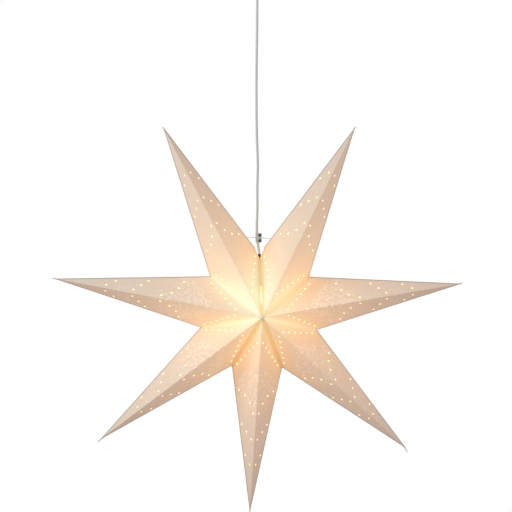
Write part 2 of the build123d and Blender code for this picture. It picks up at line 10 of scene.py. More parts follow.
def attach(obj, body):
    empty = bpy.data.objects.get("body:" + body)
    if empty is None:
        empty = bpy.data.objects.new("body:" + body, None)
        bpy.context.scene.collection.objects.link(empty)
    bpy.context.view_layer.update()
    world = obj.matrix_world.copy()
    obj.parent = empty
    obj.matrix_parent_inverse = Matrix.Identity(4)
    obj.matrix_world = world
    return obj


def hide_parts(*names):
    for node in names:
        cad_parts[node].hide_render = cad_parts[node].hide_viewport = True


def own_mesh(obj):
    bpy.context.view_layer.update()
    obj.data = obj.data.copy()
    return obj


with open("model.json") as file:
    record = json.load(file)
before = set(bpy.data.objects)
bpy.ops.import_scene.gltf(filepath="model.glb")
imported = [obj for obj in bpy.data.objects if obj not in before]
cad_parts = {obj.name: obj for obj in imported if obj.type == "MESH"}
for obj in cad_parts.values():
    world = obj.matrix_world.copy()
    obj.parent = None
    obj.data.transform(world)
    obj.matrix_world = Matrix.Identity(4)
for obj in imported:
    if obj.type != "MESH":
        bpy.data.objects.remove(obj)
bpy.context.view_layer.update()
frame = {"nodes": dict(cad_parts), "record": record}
scene = bpy.context.scene

# The star, in metres and degrees, as in the CAD model
POINT_REACH = 0.359
VALLEY_REACH = 0.106
HALF_DEPTH = 0.092
CENTRE = Vector((0.0036, 0, -0.620))
PAPER = 0.0004
FLAP_WIDTH = 0.006
SEAM_HALF_TURN = 1.9
FRONT = Vector((0, -1, 0))

# The turn from each point to the next, beginning at the upper left one. The last turn is across the seam
SECTOR_TURNS = [53.12, 48.18, 48.62, 49.51, 50.87, 54.98, 54.72]
LAST_POINT = len(SECTOR_TURNS) - 1

# Rows of punched holes: how many, the first and the last along and across from the ridge, and the row's bow
HOLE_RADIUS = 0.0016
HOLE_ROWS = [
    (6, (0.0485, 0.0088), (0.1075, 0.0632), 0.0),
    (4, (0.180, 0.009), (0.153, 0.0534), 0.008),
    (3, (0.230, 0.0095), (0.2127, 0.0391), 0.0),
    (2, (0.2792, 0.0095), (0.2667, 0.0234), 0.0),
]

# Each point's body, and the joint whose turn flattens it
BODIES = ["upper_left_point", "left_point", "lower_left_point", "bottom_point"]
BODIES += ["lower_right_point", "right_point", "upper_right_point"]
FOLDS = ["upper_left_fold", "left_fold", "lower_left_fold", "star_fold"]
FOLDS += ["lower_right_fold", "right_fold", "star_fold"]

# How finely the paper's mesh is cut, and how far its inner places keep from edges and holes
HOLE_SIDES = 14
HALO_RADIUS = HOLE_RADIUS + 0.0010
EDGE_STEPS = 36
NET_GAP = 0.009
NET_EDGE_GAP = 0.003
NET_HOLE_GAP = 0.0035

# The faces that fill a hole have their middles this near to the hole's
HOLE_INSIDE = HOLE_RADIUS * 0.97

# The cut keeps only what lies inside the outline
INSIDE_OUTLINE = 1

# How near two places count as one, and how many degrees of turn count as a crease
FLAT_SLIP = 1e-7
RIM_SLIP = 1e-5
PAPER_WELD = 2e-5
PAPER_CREASE = 14

# Faces look the same way above this cosine, and a fold's spread is taken as no less than this
SAME_FACING = 0.999
LEAST_SPREAD = 0.45

# The soft bow of each facet, how much and how quickly it varies, and how far a flap's edge leans out
BOW_HEIGHT = 0.0004
BOW_SWAY = 0.0011
SWAY_SCALE = 14
FLAP_LEAN = 0.0002

# The seam between the two upper points: height above the centre, and half the opening there
SEAM_CURVE = [
    (0.000, 0.0001),
    (0.022, 0.0001),
    (0.0240, 0.0012),
    (0.047, 0.0012),
    (0.0495, 0.0001),
    (0.095, 0.0001),
    (0.098, 0.0014),
    (0.1005, 0.0040),
    (0.106, 0.0095),
]

# The round-ended slot that the seam leaves for the boot, which swings to front and back in a tilt
BOOT_ROOM = 0.0042
BOOT_SWING = 0.0038

# The pinch fades out beside the seam over a share of the height, and the flare at its top over a reach
PINCH_SHARE = 0.42
FLARE_REACH = 0.016
FLARE_SLOPE = 1.32

# Each point's tip ends in a small bent nib: how far it turns aside, and how far past the tip it ends
NIB_BENDS = [0.0024, -0.0004, 0.0012, 0.0, -0.0038, 0.0012, -0.0009]
NIB_ENDS = [0.0005, 0.0037, 0.0055, -0.0013, 0.0065, 0.0015, 0.0017]
NIB_START = 0.007
NIB_KNEE = 0.001
NIB_HALF_WIDTH = 0.0010
NIB_TINT = (0.98, 1.12, 1.28)

# The marks of a nib: beyond the print and the dark rim, tinted like a valley, and with no hole near
NIB_MARKS = ((1.0, 0.0, 0.0), 0.004, 0.0, 1.0, 0.0)

# The colour of the lamp's light through the paper, by the distance from the lamp
LAMP = CENTRE + Vector((0, 0, 0.015))
GLOW_NEAR = 0.050
GLOW_FAR = 0.350
GLOW_STOPS = [
    (0.065, (0.530, 0.370, 0.150)),
    (0.095, (0.460, 0.237, 0.084)),
    (0.130, (0.335, 0.178, 0.072)),
    (0.200, (0.234, 0.118, 0.050)),
    (0.340, (0.117, 0.053, 0.030)),
]

# The brighter, yellower spot of painted lamp light beside the seam
GLOW_SPOT = CENTRE + Vector((-0.010, 0, 0.030))
GLOW_SPOT_REACH = 0.042
GLOW_SPOT_SHARE = 0.75
PALE_GLOW = (0.46, 0.53, 0.30)

# How strongly the two sides of each point glow
SIDE_GLOWS = [
    (0.99, 1.00),
    (0.66, 1.04),
    (0.96, 0.95),
    (1.10, 1.00),
    (0.90, 1.01),
    (0.98, 0.93),
    (1.01, 0.79),
]

# The tint of painted shade and light along the valley after each point, where the paper lies double: deeper
# orange in the shaded lower valleys and paler in the lit ones; and how far from the valley it fades
CREAM = (1.01, 1.06, 1.10)
ORANGE = (0.87, 0.82, 0.66)
GOLD = (0.97, 0.92, 0.84)
AMBER = (0.94, 0.87, 0.70)
VALLEY_SHADINGS = [CREAM, CREAM, ORANGE, ORANGE, CREAM, GOLD, AMBER]
VALLEY_WIDTH = (0.0025, 0.0085)

# The lampholder's shade on the paper: where it fades aside, at its bottom and at its top, and its depth
SHADE_SIDE = (0.006, 0.014)
SHADE_BOTTOM = (0.036, 0.054)
SHADE_TOP = (0.082, 0.100)
SHADE_DEPTH = 0.22

# The painted shade in the folds at the peak: where it fades round the axis, and the tone it leaves
PEAK_REACH = (0.0015, 0.009)
PEAK_SHADE = 0.55

# Painted shade along the paper's rim and the seam's edge: how wide they are, and the tone it leaves
RIM_WIDTH = (0.0008, 0.0034)
RIM_SHADE = 0.50
SEAM_WIDTH = (0.0, 0.0025)
SEAM_SHADE = 0.80

# The lace print: its cells to the metre, how far its lines stray, their width, and the patches it comes in
LACE_CELLS = 104.0
LACE_STRAY = 0.005
LACE_LINE = (0.045, 0.105)
LACE_PATCH = (0.44, 0.52)

# It starts past the first row of holes, and its density changes outward along the facet
LACE_START = (0.046, 0.053)
PAST_FIRST_ROW = (0.678, -0.735, 0)
LACE_OUTWARD = (0.857, 0.515, 0)
LACE_FAR = 0.25
LACE_LEVELS = [
    (0.05, 1.0),
    (0.145, 1.0),
    (0.165, 0.55),
    (0.185, 0.15),
    (0.202, 0.15),
    (0.210, 0.55),
    (0.225, 0.5),
    (0.236, 0.0),
]

# Its tone, and how much of it the two upper points have
LACE_TONE = (0.97, 0.88, 0.79)
UPPER_LACE = 0.25

# How much of the mottle is fibres, how far light reaches inside, and the painted glow ring round each hole
FIBRE_SHARE = 0.6
INSIDE_REACH = 0.4
RING_SHARE = 0.28
RING_GLOW = (1.0, 0.93, 0.70)

# Where the globe's light fades up the bulb's neck, and its strength below and above
NECK_FADE = (0.034, 0.044)
NECK_LIGHT = (0.62, 0.20)
NECK_GLOW = (1.0, 0.93, 0.78)


# Materials

def material(name):
    """A new material with its node tree and shader."""
    made = bpy.data.materials.new(name)
    made.use_nodes = True
    tree = made.node_tree
    return made, tree, tree.nodes["Principled BSDF"]


def feed(tree, socket, value):
    """Link a socket to another, or set its number or colour."""
    if isinstance(value, bpy.types.NodeSocket):
        tree.links.new(value, socket)
    elif isinstance(value, (int, float)) or len(value) == len(socket.default_value):
        socket.default_value = value
    else:
        socket.default_value = (*value, 1)


def feed_all(tree, node, values):
    """Feed several sockets of a node, by their names or places."""
    for key, value in values.items():
        feed(tree, node.inputs[key], value)


def maths(tree, operation, *values):
    """The output of one math node."""
    made = tree.nodes.new("ShaderNodeMath")
    made.operation = operation
    feed_all(tree, made, dict(enumerate(values)))
    return made.outputs[0]


def product(tree, first, *others):
    """Several values multiplied together."""
    for value in others:
        first = maths(tree, "MULTIPLY", first, value)
    return first


def spread(tree, share, low, high):
    """The value that lies this share of the way from low to high."""
    return maths(tree, "MULTIPLY_ADD", share, high - low, low)


def vector_maths(tree, operation, first, second, output="Vector"):
    """An output of one vector math node."""
    made = tree.nodes.new("ShaderNodeVectorMath")
    made.operation = operation
    feed_all(tree, made, {0: first, 1: second})
    return made.outputs[output]


def scaled_colour(tree, colour, strength):
    """A colour multiplied by one number."""
    made = tree.nodes.new("ShaderNodeVectorMath")
    made.operation = "SCALE"
    feed_all(tree, made, {0: colour, "Scale": strength})
    return made.outputs["Vector"]


def eased(tree, value, low, high, start=0.0, end=1.0):
    """A value that goes smoothly from start to end as another goes from low to high."""
    made = tree.nodes.new("ShaderNodeMapRange")
    made.interpolation_type = "SMOOTHSTEP"
    feed_all(tree, made, {"Value": value, "From Min": low, "From Max": high})
    feed_all(tree, made, {"To Min": start, "To Max": end})
    return made.outputs["Result"]


def ramp(tree, factor, stops):
    """The colour output of a ramp with these stops."""
    made = tree.nodes.new("ShaderNodeValToRGB")
    elements = made.color_ramp.elements
    while len(elements) < len(stops):
        elements.new(0.5)
    for element, (place, colour) in zip(elements, stops):
        element.position = place
        element.color = (*colour, 1)
    tree.links.new(factor, made.inputs["Fac"])
    return made.outputs["Color"]


def two_tones(tree, factor, first, second, margin=0.35):
    """A colour that goes from one tone to another, plain within a margin of each end."""
    return ramp(tree, factor, [(margin, first), (1 - margin, second)])


def mixed(tree, factor, first, second, kind="MIX"):
    """The colour of one mix node."""
    made = tree.nodes.new("ShaderNodeMix")
    made.data_type = "RGBA"
    made.blend_type = kind
    feed_all(tree, made, {0: factor, 6: first, 7: second})
    return made.outputs[2]


def object_place(tree):
    """The place on the object itself, which moves with it."""
    return tree.nodes.new("ShaderNodeTexCoord").outputs["Object"]


def noise_at(tree, place, scale, detail=3, roughness=0.6, output="Fac"):
    """A noise texture's value, or its colour."""
    made = tree.nodes.new("ShaderNodeTexNoise")
    feed_all(tree, made, {"Vector": place, "Scale": scale, "Detail": detail, "Roughness": roughness})
    return made.outputs[output]


def bump(tree, shader, height, strength, distance):
    """A bump on the shader's normal."""
    made = tree.nodes.new("ShaderNodeBump")
    feed_all(tree, made, {"Height": height, "Strength": strength, "Distance": distance})
    tree.links.new(made.outputs["Normal"], shader.inputs["Normal"])


def mark(tree, name, output="Fac"):
    """One of the paper's own marks, stored on its mesh."""
    made = tree.nodes.new("ShaderNodeAttribute")
    made.attribute_name = name
    return made.outputs[output]


def from_centre(tree, place):
    """How far a place lies to the right of the star's centre, and how far above it."""
    parts = tree.nodes.new("ShaderNodeSeparateXYZ")
    tree.links.new(vector_maths(tree, "SUBTRACT", place, tuple(CENTRE)), parts.inputs[0])
    return parts.outputs["X"], parts.outputs["Z"]


def front_distance(tree, place, spot):
    """How far a place is from a spot, as seen from the front."""
    flat = vector_maths(tree, "MULTIPLY", place, (1, 0, 1))
    return vector_maths(tree, "DISTANCE", flat, (spot.x, 0, spot.z), "Value")


def lamp_distance(tree, place):
    """How far a place is from the lamp."""
    return vector_maths(tree, "DISTANCE", place, tuple(LAMP), "Value")


def lamp_glow(tree, place):
    """The colour of the lamp's light through bare paper, painted as a glow, with a brighter painted spot of
    it beside the seam.
    """
    span = GLOW_FAR - GLOW_NEAR
    share = maths(tree, "DIVIDE", maths(tree, "SUBTRACT", lamp_distance(tree, place), GLOW_NEAR), span)
    glow = ramp(tree, share, [((distance - GLOW_NEAR) / span, colour) for distance, colour in GLOW_STOPS])
    off_glow_spot = maths(tree, "DIVIDE", front_distance(tree, place, GLOW_SPOT), GLOW_SPOT_REACH)
    bell = maths(tree, "EXPONENT", product(tree, off_glow_spot, off_glow_spot, -1.0))
    return mixed(tree, product(tree, bell, GLOW_SPOT_SHARE), glow, PALE_GLOW)


def valley_shading(tree):
    """The tint of painted shade and light where the paper lies double along a valley, for its glow and its
    tone.
    """
    near = eased(tree, mark(tree, "side"), *VALLEY_WIDTH, 1.0, 0.0)
    return mixed(tree, near, (1.0, 1.0, 1.0), mark(tree, "tint", "Vector"))


def holder_shade(tree, place):
    """The tone of the paper under the lampholder's painted shade, and under the painted shade in the folds
    at the peak.
    """
    aside, height = from_centre(tree, place)
    column = eased(tree, maths(tree, "ABSOLUTE", aside), *SHADE_SIDE, 1.0, 0.0)
    bottom = eased(tree, height, *SHADE_BOTTOM)
    top = eased(tree, height, *SHADE_TOP, 1.0, 0.0)
    shade = maths(tree, "SUBTRACT", 1.0, product(tree, column, bottom, top, SHADE_DEPTH))
    peak = eased(tree, front_distance(tree, place, CENTRE), *PEAK_REACH, PEAK_SHADE, 1.0)
    return product(tree, shade, peak)


def lace_print(tree, place):
    """The pale printed network on one facet, from its own places along and across from the ridge."""
    flat = mark(tree, "flat", "Vector")
    stray = noise_at(tree, flat, scale=150, detail=2, roughness=0.5, output="Color")
    shift = scaled_colour(tree, stray, LACE_STRAY)
    web = tree.nodes.new("ShaderNodeTexVoronoi")
    web.voronoi_dimensions = "2D"
    web.feature = "DISTANCE_TO_EDGE"
    feed_all(tree, web, {"Vector": vector_maths(tree, "ADD", flat, shift), "Scale": LACE_CELLS})
    lines = eased(tree, web.outputs["Distance"], *LACE_LINE, 1.0, 0.0)
    spots = noise_at(tree, place, scale=110, detail=2, roughness=0.5)
    patches = eased(tree, spots, *LACE_PATCH)
    started = eased(tree, vector_maths(tree, "DOT_PRODUCT", flat, PAST_FIRST_ROW, "Value"), *LACE_START)
    outward = vector_maths(tree, "DOT_PRODUCT", flat, LACE_OUTWARD, "Value")
    stops = [(reach / LACE_FAR, (level, level, level)) for reach, level in LACE_LEVELS]
    density = ramp(tree, maths(tree, "DIVIDE", outward, LACE_FAR), stops)
    return product(tree, lines, patches, started, density, mark(tree, "lace"))


def star_paper():
    """Thin fibrous paper that the lamp shines through, painted as a glow, with its lace print and with
    painted shade and light along its double valleys, its rim and its seam.
    """
    made, tree, shader = material("star_paper")
    place = object_place(tree)
    fibres = noise_at(tree, place, scale=420, detail=4, roughness=0.7)
    clouds = noise_at(tree, place, scale=130)
    mottle = maths(tree, "ADD", product(tree, fibres, FIBRE_SHARE), product(tree, clouds, 1 - FIBRE_SHARE))
    printed = lace_print(tree, place)
    # Painted shade along the outer folds and beside the seam, darkening both the tone and the glow
    rim = eased(tree, mark(tree, "rim"), *RIM_WIDTH, RIM_SHADE, 1.0)
    seam = eased(tree, mark(tree, "seam"), *SEAM_WIDTH, SEAM_SHADE, 1.0)
    edge = product(tree, rim, seam)
    # Painted shade and light along the valleys, on the paper's tone and on its glow
    valley = valley_shading(tree)

    bare = two_tones(tree, mottle, (0.80, 0.675, 0.57), (0.84, 0.71, 0.60), margin=0.36)
    tone = mixed(tree, 1.0, mixed(tree, printed, bare, LACE_TONE), valley, "MULTIPLY")

    grain = product(tree, spread(tree, mottle, 0.93, 1.07), spread(tree, printed, 1.0, 1.24))
    shade = product(tree, edge, holder_shade(tree, place))
    strength = product(tree, grain, shade, mark(tree, "glow"))
    glow = mixed(tree, 1.0, lamp_glow(tree, place), valley, "MULTIPLY")
    ring = product(tree, mark(tree, "halo"), RING_SHARE)

    feed_all(tree, shader, {
        "Base Color": scaled_colour(tree, tone, edge),
        "Emission Color": mixed(tree, ring, scaled_colour(tree, glow, strength), RING_GLOW),
        "Emission Strength": 1.0,
        "Roughness": 0.82,
        "Specular IOR Level": 0.25,
    })
    bump(tree, shader, mottle, strength=0.25, distance=0.0004)
    return made


def paper_inside():
    """The lit inner side of the paper."""
    made, tree, shader = material("paper_inside")
    place = object_place(tree)
    grain = noise_at(tree, place, scale=260)
    share = maths(tree, "DIVIDE", lamp_distance(tree, place), INSIDE_REACH)
    stops = [(0.2, (0.78, 0.60, 0.29)), (0.5, (0.66, 0.50, 0.33)), (1.0, (0.38, 0.29, 0.20))]
    feed_all(tree, shader, {
        "Base Color": two_tones(tree, grain, (0.74, 0.64, 0.46), (0.80, 0.70, 0.52)),
        "Emission Color": ramp(tree, share, stops),
        "Emission Strength": 1.0,
        "Roughness": 0.85,
    })
    return made


def darker(colour, share):
    """A colour brought down to a share of its strength."""
    return tuple(share * value for value in colour)


def moulded(name, colour, roughness, grain=900, strength=0.08):
    """Moulded plastic or ceramic with a fine grain and a little wear in its tone."""
    made, tree, shader = material(name)
    place = object_place(tree)
    cloud = noise_at(tree, place, scale=60)
    feed_all(tree, shader, {
        "Base Color": two_tones(tree, cloud, darker(colour, 0.9), colour),
        "Roughness": spread(tree, cloud, roughness - 0.05, roughness + 0.05),
    })
    fine = noise_at(tree, place, scale=grain, detail=2, roughness=0.5)
    bump(tree, shader, fine, strength, distance=0.0002)
    return made


def metal(name, colour, roughness):
    """Drawn or stamped metal with fine uneven polish."""
    made, tree, shader = material(name)
    place = object_place(tree)
    polish = noise_at(tree, place, scale=1400, detail=2, roughness=0.5)
    cloud = noise_at(tree, place, scale=110)
    feed_all(tree, shader, {
        "Base Color": two_tones(tree, cloud, darker(colour, 0.82), colour, margin=0.3),
        "Roughness": spread(tree, polish, roughness - 0.08, roughness + 0.08),
        "Metallic": 1.0,
    })
    bump(tree, shader, polish, strength=0.06, distance=0.0001)
    return made


def lit_bulb():
    """The opal globe with the light on."""
    made, tree, shader = material("lit_opal")
    cloud = noise_at(tree, object_place(tree), scale=40, detail=2, roughness=0.5)
    feed_all(tree, shader, {
        "Base Color": (0.86, 0.83, 0.76),
        "Roughness": 0.35,
        "Emission Color": two_tones(tree, cloud, (1.0, 0.90, 0.62), (1.0, 0.95, 0.74), margin=0.3),
        "Emission Strength": 0.62,
    })
    return made


def lit_neck():
    """The bulb's neck, with the globe's light shining through its lower end."""
    made, tree, shader = material("lit_neck")
    place = object_place(tree)
    cloud = noise_at(tree, place, scale=60)
    light = eased(tree, from_centre(tree, place)[1], *NECK_FADE, *NECK_LIGHT)
    feed_all(tree, shader, {
        "Base Color": two_tones(tree, cloud, (0.76, 0.75, 0.73), (0.82, 0.82, 0.80)),
        "Roughness": 0.4,
        "Emission Color": scaled_colour(tree, NECK_GLOW, light),
        "Emission Strength": 1.0,
    })
    return made


def seen_directly(tree):
    """1 where the camera looks, straight, by reflection or through glass, and 0 for all other light."""
    path = tree.nodes.new("ShaderNodeLightPath")
    seen = maths(tree, "MAXIMUM", path.outputs["Is Camera Ray"], path.outputs["Is Glossy Ray"])
    return maths(tree, "MAXIMUM", seen, path.outputs["Is Transmission Ray"])


def pale_floor():
    """A plain floor that shows pale and keeps the lantern's shadow."""
    made, tree, shader = material("pale_floor")
    cloud = noise_at(tree, object_place(tree), scale=60)
    feed_all(tree, shader, {
        "Base Color": two_tones(tree, cloud, (0.76, 0.76, 0.76), (0.80, 0.80, 0.80)),
        "Roughness": 0.7,
        "Emission Color": (1, 1, 1),
        "Emission Strength": product(tree, seen_directly(tree), 0.45),
    })
    return made


PAPER_OUT = star_paper()
PAPER_IN = paper_inside()
FINISHES = {
    "zinc_steel": metal("zinc_steel", (0.72, 0.73, 0.74), 0.36),
    "dark_steel": metal("dark_steel", (0.09, 0.085, 0.08), 0.42),
    "brass": metal("brass", (0.78, 0.60, 0.28), 0.34),
    "cap_metal": metal("cap_metal", (0.74, 0.74, 0.73), 0.33),
    "white_plastic": moulded("white_plastic", (0.66, 0.66, 0.64), 0.42),
    "block_plastic": moulded("block_plastic", (0.78, 0.78, 0.75), 0.5),
    "dark_plastic": moulded("dark_plastic", (0.030, 0.028, 0.028), 0.40),
    "ceramic": moulded("ceramic", (0.82, 0.80, 0.76), 0.3),
    "lamp_white": moulded("lamp_white", (0.82, 0.82, 0.80), 0.38),
    "lead_brown": moulded("lead_brown", (0.16, 0.06, 0.025), 0.5),
    "lead_blue": moulded("lead_blue", (0.03, 0.10, 0.36), 0.5),
    "cord_sheath": moulded("cord_sheath", (0.74, 0.74, 0.73), 0.55, 1500, 0.12),
    "opal": lit_bulb(),
    "lit_neck": lit_neck(),
}


# Mesh helpers

CLOSED_WELD = 1e-6
CLOSED_CREASE = 35


def object_from(name, verts, faces, finishes, kinds=None):
    """A new mesh object in the scene."""
    mesh = bpy.data.meshes.new(name)
    mesh.from_pydata([tuple(vert) for vert in verts], [], faces)
    for finish in finishes:
        mesh.materials.append(finish)
    if kinds:
        mesh.polygons.foreach_set("material_index", kinds)
    made = bpy.data.objects.new(name, mesh)
    scene.collection.objects.link(made)
    return made


def soften(work, turn):
    """Shade a mesh smoothly, but for edges that turn by more than this many degrees."""
    for face in work.faces:
        face.smooth = True
    for edge in work.edges:
        if len(edge.link_faces) != 2 or edge.calc_face_angle(0) > math.radians(turn):
            edge.smooth = False


def finish_closed(mesh):
    """Join the doubled places of a closed mesh, turn its faces outward and shade it."""
    work = bmesh.new()
    work.from_mesh(mesh)
    bmesh.ops.remove_doubles(work, verts=work.verts, dist=CLOSED_WELD)
    bmesh.ops.recalc_face_normals(work, faces=work.faces)
    soften(work, CLOSED_CREASE)
    work.to_mesh(mesh)
    work.free()


def store(mesh, name, values, domain="POINT"):
    """Keep a number or a triple for each place or face of a mesh."""
    if isinstance(values[0], tuple):
        held = mesh.attributes.new(name, "FLOAT_VECTOR", domain)
        held.data.foreach_set("vector", [part for value in values for part in value])
    else:
        held = mesh.attributes.new(name, "FLOAT", domain)
        held.data.foreach_set("value", values)


# The paper points

# The two paper materials' places in a point's list
OUTSIDE = 0
INSIDE = 1


def toward(turn):
    """The direction in the star's plane at a turn from straight down, positive toward +X."""
    angle = math.radians(turn)
    return Vector((math.sin(angle), 0, -math.cos(angle)))


def tip_turns():
    """The turn of each point from straight down."""
    turns = [SECTOR_TURNS[-1] / 2 - 180]
    for sector in SECTOR_TURNS[:-1]:
        turns.append(turns[-1] + sector)
    return turns


def valley_turns(index):
    """The turns of the valleys before and after one point."""
    tip = tip_turns()[index]
    before = tip - SECTOR_TURNS[index - 1] / 2
    after = tip + SECTOR_TURNS[index] / 2
    if index == 0:
        before = SEAM_HALF_TURN - 180
    if index == LAST_POINT:
        after = 180 - SEAM_HALF_TURN
    return before, after


def hole_places():
    """The places of the punched holes on a facet, along the ridge and across from it."""
    places = []
    for count, near, far, bow in HOLE_ROWS:
        along = far[0] - near[0]
        across = far[1] - near[1]
        length = math.hypot(along, across)
        for number in range(count):
            share = number / (count - 1)
            lift = 4 * bow * share * (1 - share) / length
            hole_along = near[0] + along * share - across * lift
            hole_across = near[1] + across * share + along * lift
            places.append(Vector((hole_along, hole_across)))
    return places


HOLES = hole_places()


def seam_opening(height):
    """Half the seam's opening at a height above the centre."""
    for (low, first), (high, second) in zip(SEAM_CURVE, SEAM_CURVE[1:]):
        if height <= high:
            return first + (second - first) * (height - low) / (high - low)
    return SEAM_CURVE[-1][1]


def pinched(spot, seam_side):
    """A place on an upper point, drawn in to the seam that the clips hold, and flared at its top."""
    if not seam_side:
        return spot
    offset = spot - CENTRE
    open_half = math.tan(math.radians(SEAM_HALF_TURN)) * max(offset.z, 0.0)
    away = max(0.0, -seam_side * offset.x - open_half)
    beyond = min(BOOT_ROOM, max(0.0, abs(offset.y) - BOOT_SWING))
    room = math.sqrt(BOOT_ROOM**2 - beyond**2)
    across = open_half - max(room, seam_opening(max(0.0, offset.z)))
    if across > 0:
        fade = max(0.0, 1 - away / (PINCH_SHARE * offset.z)) ** 2
        return spot + Vector((seam_side * across * fade, 0, 0))
    across *= max(0.0, 1 - away / FLARE_REACH) ** 2
    return spot + Vector((seam_side * across, 0, -FLARE_SLOPE * across))


def sides_of(corners):
    """The pairs of corners at the ends of a triangle's sides."""
    return zip(corners, corners[1:] + corners[:1])


def edge_distance(place, first, second):
    """The distance from a flat place to the line through two others, positive inside the facet."""
    run = (second - first).normalized()
    return run.x * (place.y - first.y) - run.y * (place.x - first.x)


def inside_facet(place, corners):
    """Whether a flat place keeps clear of the facet's edges."""
    return all(edge_distance(place, *side) >= NET_EDGE_GAP for side in sides_of(corners))


def clear_of_holes(place, reach):
    """Whether a flat place is farther than this from the middle of every hole."""
    return all((place - hole).length > reach for hole in HOLES)


def facet_net(corners):
    """The flat places and faces of one punched facet."""
    flat = []
    for first, second in sides_of(corners):
        flat += [first.lerp(second, step / EDGE_STEPS) for step in range(EDGE_STEPS)]
    edges = [(place, (place + 1) % len(flat)) for place in range(len(flat))]
    for hole in HOLES:
        for radius in (HOLE_RADIUS, HALO_RADIUS):
            start = len(flat)
            for step in range(HOLE_SIDES):
                angle = 2 * math.pi * step / HOLE_SIDES
                flat.append(hole + Vector((math.cos(angle), math.sin(angle))) * radius)
            edges += [(start + step, start + (step + 1) % HOLE_SIDES) for step in range(HOLE_SIDES)]
    for row in range(1, int(corners[2].y / NET_GAP) + 1):
        for column in range(1, int(corners[1].x / NET_GAP)):
            spot = Vector((column * NET_GAP + (row % 2) * NET_GAP / 2, row * NET_GAP))
            if inside_facet(spot, corners) and clear_of_holes(spot, NET_HOLE_GAP):
                flat.append(spot)
    places, _, faces = delaunay_2d_cdt(flat, edges, [], INSIDE_OUTLINE, FLAT_SLIP)[:3]
    kept = []
    for face in faces:
        middle = sum((places[corner] for corner in face), Vector((0, 0))) / len(face)
        if clear_of_holes(middle, HOLE_INSIDE):
            kept.append(tuple(face))
    return places, kept


class Facet:
    """One facet of a point: the triangle between its peak, its tip and the outer end of a valley."""

    def __init__(self, index, side, depth):
        bearing = toward(tip_turns()[index])
        tip = CENTRE + bearing * POINT_REACH
        peak = CENTRE + Vector((0, depth * HALF_DEPTH, 0))
        corner = CENTRE + toward(valley_turns(index)[side]) * VALLEY_REACH
        self.peak = peak
        self.corner = corner
        self.reach = (tip - peak).length
        self.ridge = (tip - peak).normalized()
        self.across = (corner - peak) - self.ridge * (corner - peak).dot(self.ridge)
        self.width = self.across.length
        self.across.normalize()
        self.corners = [
            Vector((0, 0)),
            Vector((self.reach, 0)),
            Vector(((corner - peak).dot(self.ridge), self.width)),
        ]
        self.middle = CENTRE + bearing * VALLEY_REACH / 2
        self.outward = self.away_from_middle(self.ridge.cross(self.across))
        self.at_seam = (index, side) in ((0, 0), (LAST_POINT, 1))
        self.sway_start = Vector((index * 3.1, side * 7.7, depth * 1.3))

    def away_from_middle(self, direction):
        """A direction, turned round if it looks from the peak to the point's inside."""
        return -direction if direction.dot(self.middle - self.peak) > 0 else direction

    def flat_place(self, spot):
        """A place in space, as its distances along and across from the ridge."""
        return Vector(((spot - self.peak).dot(self.ridge), (spot - self.peak).dot(self.across)))

    def marks_at(self, flat):
        """The marks of a flat place: itself, its distances from three edges, and whether it rims a hole."""
        peak, tip, corner = self.corners
        rim = edge_distance(flat, tip, corner)
        valley = edge_distance(flat, corner, peak)
        halo = any(abs((flat - hole).length - HOLE_RADIUS) < RIM_SLIP for hole in HOLES)
        return (flat.x, flat.y, 0.0), rim, valley, valley if self.at_seam else 1.0, float(halo)

    def bowed(self, flat):
        """The place in space of a flat place, with a soft bow that is greatest at the facet's middle."""
        height = flat.y / self.width
        share = (flat.x - self.corners[2].x * height) / self.reach
        # The product of the three shares is 1/27 at the middle, where each is a third
        soft = 27 * max(height, 0) * max(share, 0) * max(1 - height - share, 0)
        place = self.peak + self.ridge * flat.x + self.across * flat.y
        sway = noise.noise(place * SWAY_SCALE + self.sway_start)
        return place + self.outward * soft * (BOW_HEIGHT + BOW_SWAY * sway)

    def flap(self):
        """The places of the glue flap along the facet's inner edge, and the direction it looks."""
        run = (self.corner - self.peak).normalized()
        inward = (CENTRE - self.peak) - run * (CENTRE - self.peak).dot(run)
        inward.normalize()
        away = self.away_from_middle(run.cross(inward))
        strip = []
        for step in range(EDGE_STEPS + 1):
            edge = self.peak.lerp(self.corner, step / EDGE_STEPS)
            wide = min(FLAP_WIDTH, abs(edge.y / inward.y))
            strip += [edge, edge + inward * wide - away * FLAP_LEAN * wide / FLAP_WIDTH]
        return strip, away


class PaperSheet:
    """The growing places, marks and faces of one paper point."""

    def __init__(self, seam_side):
        self.seam_side = seam_side
        self.places = []
        self.faces = []
        self.kinds = []
        self.glows = []
        self.tints = []
        self.marks = {"flat": [], "rim": [], "side": [], "seam": [], "halo": []}

    def add(self, places, marks, faces, kind, outward, glow=1.0, tint=(1.0, 1.0, 1.0)):
        """Add faces that look outward, with each place's marks and the faces' glow and tint."""
        self.glows += [glow] * len(faces)
        self.tints += [tint] * len(faces)
        start = len(self.places)
        self.places += [pinched(place, self.seam_side) for place in places]
        for name, values in zip(self.marks, zip(*marks)):
            self.marks[name] += values
        for face in faces:
            first, second, third = (places[place] for place in face[:3])
            if (second - first).cross(third - first).dot(outward) < 0:
                face = face[::-1]
            self.faces.append(tuple(start + place for place in face))
            self.kinds.append(kind)


def add_facet(sheet, facet, glow, tint):
    """One facet of a point and the glue flap along its inner edge."""
    flat, faces = facet_net(facet.corners)
    marks = [facet.marks_at(place) for place in flat]
    sheet.add([facet.bowed(place) for place in flat], marks, faces, OUTSIDE, facet.outward, glow, tint)
    strip, away = facet.flap()
    marks = [facet.marks_at(facet.flat_place(spot)) for spot in strip]
    cells = [(2 * step, 2 * step + 2, 2 * step + 3, 2 * step + 1) for step in range(EDGE_STEPS)]
    sheet.add(strip, marks, cells, INSIDE, away)


